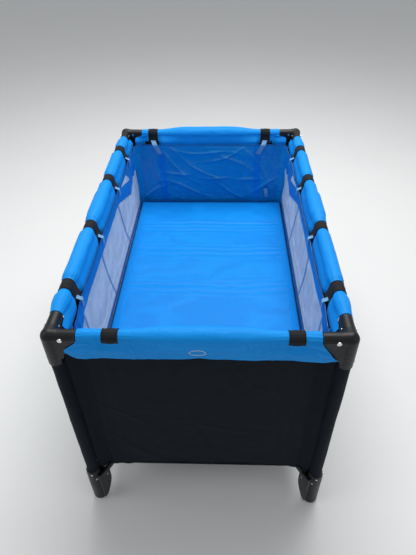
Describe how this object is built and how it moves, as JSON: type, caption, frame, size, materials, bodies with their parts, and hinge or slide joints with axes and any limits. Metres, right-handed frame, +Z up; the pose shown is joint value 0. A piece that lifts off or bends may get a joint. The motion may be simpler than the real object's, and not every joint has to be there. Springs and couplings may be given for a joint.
{
  "type": "folding travel playpen",
  "caption": "Folding rectangular playpen: tubular frame on corner legs, latched top rails, fabric and mesh walls, hook-on bassinet with a padded mattress.",
  "frame": {"origin": "on the floor under the middle of the playpen", "axes": "+Z up, +Y along the playpen's length towards the end away from the pictured end wall, +X across its width to the right"},
  "size_m": [0.7014, 1.1114, 0.7499],
  "materials": {
    "painted_tube": "satin black powder coat on thin steel tube",
    "black_plastic": "satin moulded plastic with a fine grain",
    "rivet_steel": "bright zinc-plated rivets, pins and screws",
    "black_webbing": "ribbed polyester webbing",
    "dark_fabric": "dark navy woven oxford fabric",
    "mesh": "pale knitted mesh window framed in dark oxford fabric",
    "blue_fabric": "bright blue woven nylon",
    "mattress_fabric": "bright blue padded nylon cover, slightly creased"
  },
  "bodies": {
    "leg_fl": {"leg_tube_fl": "painted_tube", "corner_bracket_fl": "black_plastic", "corner_cover_fl": "black_plastic", "foot_fl": "black_plastic", "corner_fasteners_fl": "rivet_steel", "wall_front": "dark_fabric", "wall_left": "mesh"},
    "spoke_fl": {"bottom_tube_fl": "painted_tube"},
    "leg_fr": {"leg_tube_fr": "painted_tube", "corner_bracket_fr": "black_plastic", "corner_cover_fr": "black_plastic", "foot_fr": "black_plastic", "corner_fasteners_fr": "rivet_steel", "wall_right": "mesh"},
    "spoke_fr": {"bottom_tube_fr": "painted_tube"},
    "leg_bl": {"leg_tube_bl": "painted_tube", "corner_bracket_bl": "black_plastic", "corner_cover_bl": "black_plastic", "foot_bl": "black_plastic", "corner_fasteners_bl": "rivet_steel", "wall_back": "dark_fabric"},
    "spoke_bl": {"bottom_tube_bl": "painted_tube"},
    "leg_br": {"leg_tube_br": "painted_tube", "corner_bracket_br": "black_plastic", "corner_cover_br": "black_plastic", "foot_br": "black_plastic", "corner_fasteners_br": "rivet_steel"},
    "spoke_br": {"bottom_tube_br": "painted_tube"},
    "hub": {"hub_body": "black_plastic", "hub_pins": "rivet_steel", "hub_pull_strap": "black_webbing", "tub_floor": "dark_fabric"},
    "rail_front_left": {"rail_front_left": "painted_tube"},
    "rail_front_right": {"rail_front_right": "painted_tube"},
    "rail_back_left": {"rail_back_left": "painted_tube"},
    "rail_back_right": {"rail_back_right": "painted_tube"},
    "rail_left_front": {"rail_left_front": "painted_tube"},
    "rail_left_back": {"rail_left_back": "painted_tube"},
    "rail_right_front": {"rail_right_front": "painted_tube"},
    "rail_right_back": {"rail_right_back": "painted_tube"},
    "latch_front": {"latch_housing_front": "black_plastic", "latch_pins_front": "rivet_steel", "rail_sleeve_front": "blue_fabric"},
    "button_front": {"latch_button_front": "black_plastic"},
    "latch_back": {"latch_housing_back": "black_plastic", "latch_pins_back": "rivet_steel", "rail_sleeve_back": "blue_fabric"},
    "button_back": {"latch_button_back": "black_plastic"},
    "latch_left": {"latch_housing_left": "black_plastic", "latch_pins_left": "rivet_steel", "rail_sleeve_left": "blue_fabric"},
    "button_left": {"latch_button_left": "black_plastic"},
    "latch_right": {"latch_housing_right": "black_plastic", "latch_pins_right": "rivet_steel", "rail_sleeve_right": "blue_fabric"},
    "button_right": {"latch_button_right": "black_plastic"},
    "bassinet": {"bassinet_tub": "blue_fabric", "bassinet_bars": "painted_tube", "bassinet_straps": "black_webbing", "mattress": "mattress_fabric"}
  },
  "joints": [
    {"name": "frame_fold", "type": "hinge", "parent": "leg_fl", "child": "spoke_fl", "pos_m": [-0.30356, -0.52384, 0.116], "axis": [0.8652, -0.5014, 0], "range_deg": [0, 75], "deforming": ["wall_front", "wall_left", "wall_right", "wall_back", "tub_floor", "rail_sleeve_front", "rail_sleeve_back", "rail_sleeve_left", "rail_sleeve_right"]},
    {"name": "hub_pivot_fl", "type": "hinge", "parent": "spoke_fl", "child": "hub", "pos_m": [-0.02106, -0.03634, 0.116], "axis": [-0.8652, 0.5014, 0], "range_deg": [0, 75]},
    {"name": "hub_pivot_fr", "type": "hinge", "parent": "hub", "child": "spoke_fr", "pos_m": [0.02106, -0.03634, 0.116], "axis": [0.8652, 0.5014, 0], "range_deg": [0, 75]},
    {"name": "foot_pivot_fr", "type": "hinge", "parent": "spoke_fr", "child": "leg_fr", "pos_m": [0.30356, -0.52384, 0.116], "axis": [-0.8652, -0.5014, 0], "range_deg": [0, 75]},
    {"name": "hub_pivot_bl", "type": "hinge", "parent": "hub", "child": "spoke_bl", "pos_m": [-0.02106, 0.03634, 0.116], "axis": [-0.8652, -0.5014, 0], "range_deg": [0, 75]},
    {"name": "foot_pivot_bl", "type": "hinge", "parent": "spoke_bl", "child": "leg_bl", "pos_m": [-0.30356, 0.52384, 0.116], "axis": [0.8652, 0.5014, 0], "range_deg": [0, 75]},
    {"name": "hub_pivot_br", "type": "hinge", "parent": "hub", "child": "spoke_br", "pos_m": [0.02106, 0.03634, 0.116], "axis": [-0.8652, 0.5014, 0], "range_deg": [0, 75]},
    {"name": "foot_pivot_br", "type": "hinge", "parent": "spoke_br", "child": "leg_br", "pos_m": [0.30356, 0.52384, 0.116], "axis": [0.8652, -0.5014, 0], "range_deg": [0, 75]},
    {"name": "rail_front_corner", "type": "hinge", "parent": "leg_fl", "child": "rail_front_left", "pos_m": [-0.3005, -0.533, 0.728], "axis": [0, 1, 0], "range_deg": [0, 75]},
    {"name": "latch_front_near", "type": "hinge", "parent": "rail_front_left", "child": "latch_front", "pos_m": [-0.018, -0.533, 0.728], "axis": [0, -1, 0], "range_deg": [0, 75]},
    {"name": "latch_front_far", "type": "hinge", "parent": "latch_front", "child": "rail_front_right", "pos_m": [0.018, -0.533, 0.728], "axis": [0, -1, 0], "range_deg": [0, 75]},
    {"name": "rail_back_corner", "type": "hinge", "parent": "leg_bl", "child": "rail_back_left", "pos_m": [-0.3005, 0.533, 0.728], "axis": [0, 1, 0], "range_deg": [0, 75]},
    {"name": "latch_back_near", "type": "hinge", "parent": "rail_back_left", "child": "latch_back", "pos_m": [-0.018, 0.533, 0.728], "axis": [0, -1, 0], "range_deg": [0, 75]},
    {"name": "latch_back_far", "type": "hinge", "parent": "latch_back", "child": "rail_back_right", "pos_m": [0.018, 0.533, 0.728], "axis": [0, -1, 0], "range_deg": [0, 75]},
    {"name": "rail_left_corner", "type": "hinge", "parent": "leg_fl", "child": "rail_left_front", "pos_m": [-0.328, -0.5055, 0.728], "axis": [-1, 0, 0], "range_deg": [0, 75]},
    {"name": "latch_left_near", "type": "hinge", "parent": "rail_left_front", "child": "latch_left", "pos_m": [-0.328, -0.018, 0.728], "axis": [1, 0, 0], "range_deg": [0, 75]},
    {"name": "latch_left_far", "type": "hinge", "parent": "latch_left", "child": "rail_left_back", "pos_m": [-0.328, 0.018, 0.728], "axis": [1, 0, 0], "range_deg": [0, 75]},
    {"name": "rail_right_corner", "type": "hinge", "parent": "leg_fr", "child": "rail_right_front", "pos_m": [0.328, -0.5055, 0.728], "axis": [-1, 0, 0], "range_deg": [0, 75]},
    {"name": "latch_right_near", "type": "hinge", "parent": "rail_right_front", "child": "latch_right", "pos_m": [0.328, -0.018, 0.728], "axis": [1, 0, 0], "range_deg": [0, 75]},
    {"name": "latch_right_far", "type": "hinge", "parent": "latch_right", "child": "rail_right_back", "pos_m": [0.328, 0.018, 0.728], "axis": [1, 0, 0], "range_deg": [0, 75]},
    {"name": "bassinet_lift", "type": "slide", "parent": "hub", "child": "bassinet", "axis": [0, 0, 1], "range_m": [0, 1.31]},
    {"name": "latch_press_front", "type": "slide", "parent": "latch_front", "child": "button_front", "axis": [0, 0, 1], "range_m": [0, 0.0015], "stiffness_N_per_m": 300, "springref_m": -0.002},
    {"name": "latch_press_back", "type": "slide", "parent": "latch_back", "child": "button_back", "axis": [0, 0, 1], "range_m": [0, 0.0015], "stiffness_N_per_m": 300, "springref_m": -0.002},
    {"name": "latch_press_left", "type": "slide", "parent": "latch_left", "child": "button_left", "axis": [0, 0, 1], "range_m": [0, 0.0015], "stiffness_N_per_m": 300, "springref_m": -0.002},
    {"name": "latch_press_right", "type": "slide", "parent": "latch_right", "child": "button_right", "axis": [0, 0, 1], "range_m": [0, 0.0015], "stiffness_N_per_m": 300, "springref_m": -0.002}
  ],
  "couplings": [
    {"joint": "hub_pivot_fl", "follows": "frame_fold", "ratio": 1},
    {"joint": "hub_pivot_fr", "follows": "frame_fold", "ratio": 1},
    {"joint": "foot_pivot_fr", "follows": "frame_fold", "ratio": 1},
    {"joint": "hub_pivot_bl", "follows": "frame_fold", "ratio": 1},
    {"joint": "foot_pivot_bl", "follows": "frame_fold", "ratio": 1},
    {"joint": "hub_pivot_br", "follows": "frame_fold", "ratio": 1},
    {"joint": "foot_pivot_br", "follows": "frame_fold", "ratio": 1},
    {"joint": "rail_front_corner", "follows": "frame_fold", "ratio": 1},
    {"joint": "latch_front_near", "follows": "frame_fold", "ratio": 1},
    {"joint": "latch_front_far", "follows": "frame_fold", "ratio": 1},
    {"joint": "rail_back_corner", "follows": "frame_fold", "ratio": 1},
    {"joint": "latch_back_near", "follows": "frame_fold", "ratio": 1},
    {"joint": "latch_back_far", "follows": "frame_fold", "ratio": 1},
    {"joint": "rail_left_corner", "follows": "frame_fold", "ratio": 1},
    {"joint": "latch_left_near", "follows": "frame_fold", "ratio": 1},
    {"joint": "latch_left_far", "follows": "frame_fold", "ratio": 1},
    {"joint": "rail_right_corner", "follows": "frame_fold", "ratio": 1},
    {"joint": "latch_right_near", "follows": "frame_fold", "ratio": 1},
    {"joint": "latch_right_far", "follows": "frame_fold", "ratio": 1},
    {"joint": "bassinet_lift", "follows": "frame_fold", "m_per_rad": 1}
  ]
}
